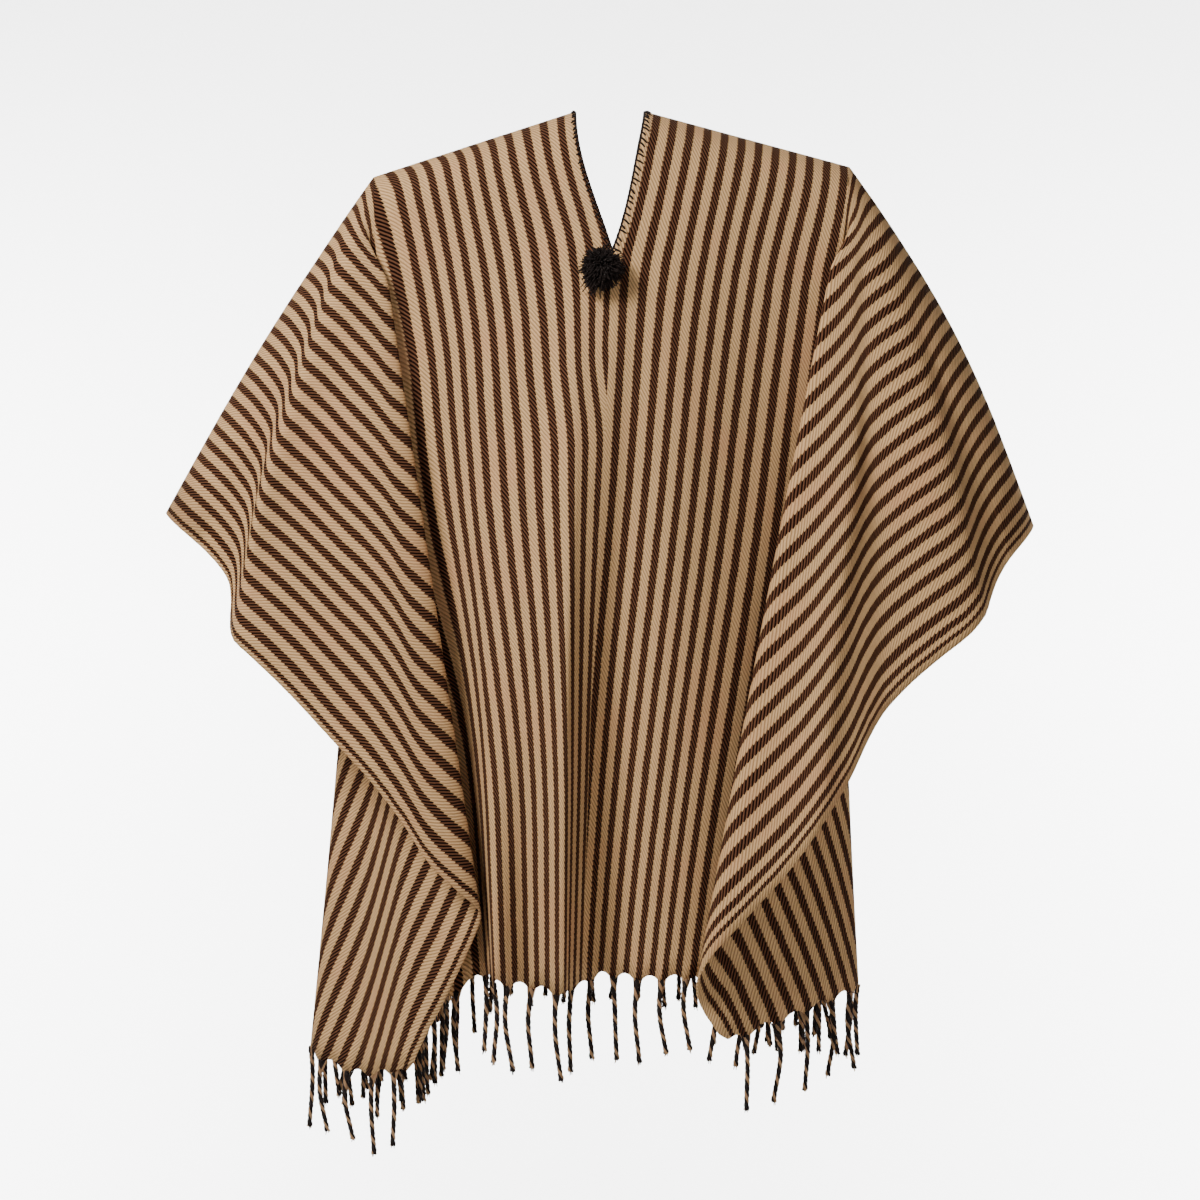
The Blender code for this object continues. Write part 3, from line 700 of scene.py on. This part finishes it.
def wool_yarn(name, colour, dull):
    """Spun wool in one colour, mottled and faintly hairy."""
    material = bpy.data.materials.new(name)
    material.use_nodes = True
    nodes = material.node_tree.nodes
    links = material.node_tree.links
    shader = nodes["Principled BSDF"]
    coords = nodes.new("ShaderNodeTexCoord")
    fibre = nodes.new("ShaderNodeGroup")
    fibre.node_tree = FIBRE
    fibre.inputs["Scale"].default_value = YARN_FIBRE_SCALE
    links.new(coords.outputs["Object"], fibre.inputs["Vector"])
    colour_out = mix_node(nodes, links, fibre.outputs["Height"], dull, colour)
    links.new(colour_out, shader.inputs["Base Color"])
    bump = nodes.new("ShaderNodeBump")
    bump.inputs["Strength"].default_value = 0.6
    bump.inputs["Distance"].default_value = 0.0006
    links.new(fibre.outputs["Height"], bump.inputs["Height"])
    links.new(bump.outputs["Normal"], shader.inputs["Normal"])
    rough = math_node(nodes, links, "MULTIPLY_ADD", fibre.outputs["Height"], 0.15, 0.8)
    links.new(rough, shader.inputs["Roughness"])
    shader.inputs["Sheen Weight"].default_value = 0.05
    shader.inputs["Specular IOR Level"].default_value = 0.2
    return material


dark_yarn = wool_yarn("dark_yarn", (0.020, 0.010, 0.007), (0.006, 0.003, 0.002))
sand_yarn = wool_yarn("sand_yarn", (0.440, 0.255, 0.130), (0.200, 0.105, 0.052))


def yarns_object(name, yarns, sides, materials):
    """One mesh of tubes along lists of (point, radius); each yarn names its material."""
    curve = bpy.data.curves.new(name, "CURVE")
    curve.dimensions = "3D"
    curve.bevel_depth = 1.0
    curve.bevel_resolution = sides
    curve.use_fill_caps = True
    for material in materials:
        curve.materials.append(material)
    for points, material_index in yarns:
        spline = curve.splines.new("POLY")
        spline.points.add(len(points) - 1)
        spline.material_index = material_index
        spline.use_smooth = True
        for place, (point, radius) in zip(spline.points, points):
            place.co = (*point, 1.0)
            place.radius = radius
    source = bpy.data.objects.new(name + "_path", curve)
    bpy.context.scene.collection.objects.link(source)
    graph = bpy.context.evaluated_depsgraph_get()
    tubes = bpy.data.meshes.new_from_object(source.evaluated_get(graph))
    bpy.data.objects.remove(source)
    bpy.data.curves.remove(curve)
    tubes.name = name
    piece = bpy.data.objects.new(name, tubes)
    bpy.context.scene.collection.objects.link(piece)
    return piece


def cord_axis(foot, length, lean, wave, share):
    """A point on a strand's middle line, as it hangs below the hem."""
    fall = Vector((0, 0, -1)) * length * share + lean * length * share ** 2
    return foot + fall + wave * math.sin(share * 4.2) * STRAND_WAVE


def fringe_cords(face):
    """One hem's cords: twisted plies, frayed ends and the yarns gathered into each top."""
    chance = random.Random(FRINGE_SEEDS[face])
    detail = random.Random(FRINGE_SEEDS[face] + 50)
    yarns = []
    for step in range(STRANDS):
        root = STRAND_PITCH * (step - (STRANDS - 1) / 2)
        length = chance.uniform(*FRINGE_LENGTHS)
        lean = Vector((chance.uniform(-1, 1), chance.uniform(-1, 1) * 0.5, 0)) * FRINGE_LEAN
        wave = Vector((detail.uniform(-1, 1), detail.uniform(-1, 1), 0))
        foot = cloth_point(face, root, HALF_LENGTH - STRAND_TUCK)
        below = cloth_point(face, root, HALF_LENGTH + SCALLOP_POINT)
        turns = length / PLY_TURN * detail.uniform(0.9, 1.1)
        start_turn = detail.uniform(0, math.tau)
        count = int(turns * PLY_POINTS_PER_TURN)
        for ply, material_index in enumerate(PLIES):
            points = []
            for index in range(count + 1):
                share = index / count
                axis = cord_axis(foot, length, lean, wave, share)
                angle = start_turn + math.tau * (ply / len(PLIES) + turns * share)
                drawn_in = 1 - 0.25 * ease(share, 0.0, 0.12)
                opened = 1 + 0.5 * ease(share, 0.9, 1.0)
                tight = PLY_OFFSET * drawn_in * opened
                ring = Vector((math.cos(angle), math.sin(angle), 0)) * tight
                radius = CORD_RADIUS * (1.15 - 0.25 * share)
                points.append((axis + ring, radius))
            yarns.append((points, material_index))
        tip = cord_axis(foot, length, lean, wave, 1.0)
        for hair in range(FRAY_HAIRS):
            way = Vector((detail.uniform(-1, 1), detail.uniform(-1, 1), -4.0)).normalized()
            reach = FRAY_LENGTH * detail.uniform(0.5, 1.0)
            points = []
            for share in (0.0, 0.5, 1.0):
                spread = way * reach * share
                radius = FRAY_RADIUS * (1 - 0.6 * share)
                points.append((tip + Vector((0, 0, FRAY_INSIDE)) + spread, radius))
            yarns.append((points, hair % 2))
        for yarn in range(GATHER_YARNS):
            place = (yarn / (GATHER_YARNS - 1) - 0.5) * 2 * GATHER_REACH
            high = cloth_point(face, root + place, HALF_LENGTH - scallop(root + place) - 0.002)
            low = cord_axis(foot, length, lean, wave, 0.20)
            middle = high.lerp(low, 0.5) + (below - foot).normalized() * 0.0015
            points = [(high, 0.6 * GATHER_RADIUS), (middle, GATHER_RADIUS), (low, GATHER_RADIUS)]
            stripe = ((root + place) / STRIPE_PERIOD) % 1.0
            yarns.append((points, 0 if stripe > STRIPE_LIGHT_SHARE else 1))
    return yarns_object(f"fringe_{face}_cords", yarns, 1, (dark_yarn, sand_yarn))


for face in FACES:
    cords = fringe_cords(face)
    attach(cords, "root")
    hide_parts(f"fringe_{face}")

# The blanket stitch
# Both edges of the neck slit are oversewn with dark wool yarn: a cord of yarn lies along
# the edge, and a leg every 6 mm runs from it into the cloth and through to the back.
STITCH_PITCH = 0.0058
STITCH_LEGS = {-1: 0.0038, 1: 0.0062}
STITCH_SLANTS = {-1: 0.0012, 1: 0.0030}
STITCH_RADIUS = 0.0010
STITCH_UNEVEN = 0.16
STITCH_TILT = 0.0012
LEG_UNEVEN = (0.62, 1.15)
EDGE_TUCK = 0.4
EDGE_WOBBLE = 0.0003
EDGE_POINTS = 3
EDGE_RADIUS = {-1: 0.0010, 1: 0.0014}


def slit_edge(face, side, down):
    """A place on one edge of the neck slit."""
    return cloth_point(face, side * EDGE_NUDGE, down, side)


def blanket_stitches():
    """The yarn along every edge of the slit and its legs into the cloth."""
    chance = random.Random(21)
    yarns = []
    slit_end = down_at(SLIT_DROP)
    for face in FACES:
        for side in (-1, 1):
            count = round(slit_end / STITCH_PITCH)
            edge = []
            for index in range(count * EDGE_POINTS + 1):
                down = slit_end * index / (count * EDGE_POINTS)
                inward = Vector((-side, 0, 0)) * EDGE_RADIUS[side] * EDGE_TUCK
                wobble = Vector((0, FACES[face], 0)) * EDGE_WOBBLE * math.sin(index * 2.1)
                edge.append((slit_edge(face, side, down) + inward + wobble, EDGE_RADIUS[side]))
            yarns.append((edge, 0))
            for index in range(count):
                down = slit_end * (index + 0.5 + chance.uniform(-STITCH_UNEVEN, STITCH_UNEVEN)) / count
                leg = STITCH_LEGS[side] * chance.uniform(*LEG_UNEVEN)
                tilt = chance.uniform(-STITCH_TILT, STITCH_TILT) + STITCH_SLANTS[side]
                start = slit_edge(face, side, down)
                end = cloth_point(face, side * leg, down + tilt, side)
                near = cloth_point(face, side * leg * 0.5, down + tilt / 2, side)
                above = cloth_point(face, side * leg * 0.5, max(0.0, down - 0.004), side)
                normal = (near - start).cross(above - near).normalized()
                normal *= 1 if normal.y * FACES[face] + normal.z > 0 else -1
                for facing in (1, -1):
                    lift = normal * facing * (CLOTH_THICK / 2 + STITCH_RADIUS * 0.5)
                    points = [
                        (start + lift * 0.6, STITCH_RADIUS),
                        (near + lift * 1.15, STITCH_RADIUS * 1.1),
                        (end + lift * 0.5, STITCH_RADIUS * 0.8),
                        (end - lift * 0.2, STITCH_RADIUS * 0.5),
                    ]
                    yarns.append((points, 0))
    return yarns_object("blanket_stitch", yarns, 1, (dark_yarn,))


stitches = blanket_stitches()
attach(stitches, "root")

# The pompom
# A tuft of dark wool yarn tied in the middle and sewn over the foot of the front slit.
# Its cut ends stand out all round, and a few long ones hang loose to the lower left.
POMPOM_ACROSS = -0.008
POMPOM_DROP = 0.158
POMPOM_RADIUS = 0.021
POMPOM_HEART = 0.011
LOCKS = 1300
LOCK_RADIUS = 0.0008
LOCK_LENGTHS = (0.78, 1.05)
LOCK_SPREAD = 0.22
LOCK_BEND = 0.003
LOCK_DROOP = 0.0025
POMPOM_BACK = 0.25
STRAY_WAY = Vector((-0.5, -0.3, -0.8)).normalized()


def pompom_yarns():
    """Short yarn ends all round the pompom's heart, cut flat where it lies on the cloth."""
    chance = random.Random(5)
    low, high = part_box("pompom")
    foot = cloth_point("front", POMPOM_ACROSS, down_at(POMPOM_DROP))
    centre = Vector((foot.x, high[1] - POMPOM_HEART - 0.0003, foot.z))
    yarns = []
    for index in range(LOCKS):
        height = 1 - 2 * (index + 0.5) / LOCKS
        turn = index * math.pi * (3 - math.sqrt(5))
        ring = math.sqrt(1 - height * height)
        way = Vector((ring * math.cos(turn), height, ring * math.sin(turn)))
        if way.y > POMPOM_BACK:
            continue
        jitter = Vector([chance.uniform(-LOCK_SPREAD, LOCK_SPREAD) for axis in range(3)])
        way = (way + jitter).normalized()
        reach = POMPOM_RADIUS * chance.uniform(*LOCK_LENGTHS)
        if way.dot(STRAY_WAY) > 0.9 and chance.random() < 0.35:
            reach *= chance.uniform(1.2, 1.5)
        bend = Vector([chance.uniform(-1, 1) for axis in range(3)]) * LOCK_BEND
        droop = Vector((0, 0, -LOCK_DROOP))
        points = []
        for share in (0.0, 0.45, 0.8, 1.0):
            distance = POMPOM_HEART * 0.5 + (reach - POMPOM_HEART * 0.5) * share
            point = centre + way * distance + bend * share ** 2 + droop * share ** 2
            point.y = min(point.y, centre.y + POMPOM_HEART)
            points.append((point, LOCK_RADIUS * (1.0 - 0.35 * share)))
        yarns.append((points, 0))
    return yarns


tuft = yarns_object("pompom_tuft", pompom_yarns(), 1, (dark_yarn,))
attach(tuft, "root")
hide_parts("pompom")

# The studio
# A plain white sweep of floor and backdrop, lit evenly by two lights of its own. A soft
# light from the upper left and a weaker one from the right shape the cloth.
FLOOR_Z = -2.3
SWEEP_START = 5.2
SWEEP_RADIUS = 1.6
SWEEP_STEPS = 12
SWEEP_SIDE = 9.0
SWEEP_FRONT = -7.0
SWEEP_TOP = 6.0


def studio_sweep():
    """A floor that curves up into a backdrop, drawn as a profile and pulled sideways."""
    sweep = bmesh.new()
    start = sweep.verts.new((-SWEEP_SIDE, SWEEP_FRONT, FLOOR_Z))
    bend = sweep.verts.new((-SWEEP_SIDE, SWEEP_START, FLOOR_Z))
    profile = [start, bend]
    for step in range(1, SWEEP_STEPS + 1):
        turn = math.pi / 2 * step / SWEEP_STEPS
        y = SWEEP_START + SWEEP_RADIUS * math.sin(turn)
        z = FLOOR_Z + SWEEP_RADIUS * (1 - math.cos(turn))
        profile.append(sweep.verts.new((-SWEEP_SIDE, y, z)))
    profile.append(sweep.verts.new((-SWEEP_SIDE, SWEEP_START + SWEEP_RADIUS, SWEEP_TOP)))
    edges = [sweep.edges.new(pair) for pair in zip(profile, profile[1:])]
    grown = bmesh.ops.extrude_edge_only(sweep, edges=edges)
    moved = [item for item in grown["geom"] if isinstance(item, bmesh.types.BMVert)]
    bmesh.ops.translate(sweep, verts=moved, vec=(2 * SWEEP_SIDE, 0, 0))
    bmesh.ops.recalc_face_normals(sweep, faces=sweep.faces)
    for face in sweep.faces:
        face.smooth = True
    mesh = bpy.data.meshes.new("studio_sweep")
    sweep.to_mesh(mesh)
    sweep.free()
    return bpy.data.objects.new("studio_sweep", mesh)


paper = bpy.data.materials.new("white_paper")
paper.use_nodes = True
paper.node_tree.nodes["Principled BSDF"].inputs["Base Color"].default_value = (0.92, 0.92, 0.92, 1)
paper.node_tree.nodes["Principled BSDF"].inputs["Roughness"].default_value = 0.9
sweep = studio_sweep()
sweep.data.materials.append(paper)
bpy.context.scene.collection.objects.link(sweep)


def soft_light(name, place, aim, size, power):
    """A round area light at one place, aimed at another."""
    lamp = bpy.data.lights.new(name, "AREA")
    lamp.shape = "DISK"
    lamp.size = size
    lamp.energy = power
    light = bpy.data.objects.new(name, lamp)
    light.location = place
    light.rotation_euler = (Vector(aim) - Vector(place)).to_track_quat("-Z", "Y").to_euler()
    bpy.context.scene.collection.objects.link(light)
    return light


soft_light("key_light", (-1.4, -1.6, 1.10), (0, 0, -0.30), 0.9, 88)
soft_light("fill_light", (2.0, -2.9, -0.8), (0.15, 0, -0.6), 2.2, 14)
soft_light("backdrop_light_left", (-2.9, 4.0, -0.4), (-0.5, 6.8, -0.6), 1.4, 700)
soft_light("backdrop_light_right", (2.9, 4.0, -0.4), (0.5, 6.8, -0.6), 1.4, 700)

world = bpy.data.worlds.new("studio_air")
world.use_nodes = True
world.node_tree.nodes["Background"].inputs["Color"].default_value = (1, 1, 1, 1)
world.node_tree.nodes["Background"].inputs["Strength"].default_value = 0.26
bpy.context.scene.world = world

camera_data = bpy.data.cameras.new("photo_camera")
camera_data.lens = 90
camera_data.sensor_width = 36
camera = bpy.data.objects.new("photo_camera", camera_data)
camera.location = (-0.010, -3.0, -0.487)
camera.rotation_euler = (math.pi / 2, 0, 0)
bpy.context.scene.collection.objects.link(camera)
bpy.context.scene.camera = camera
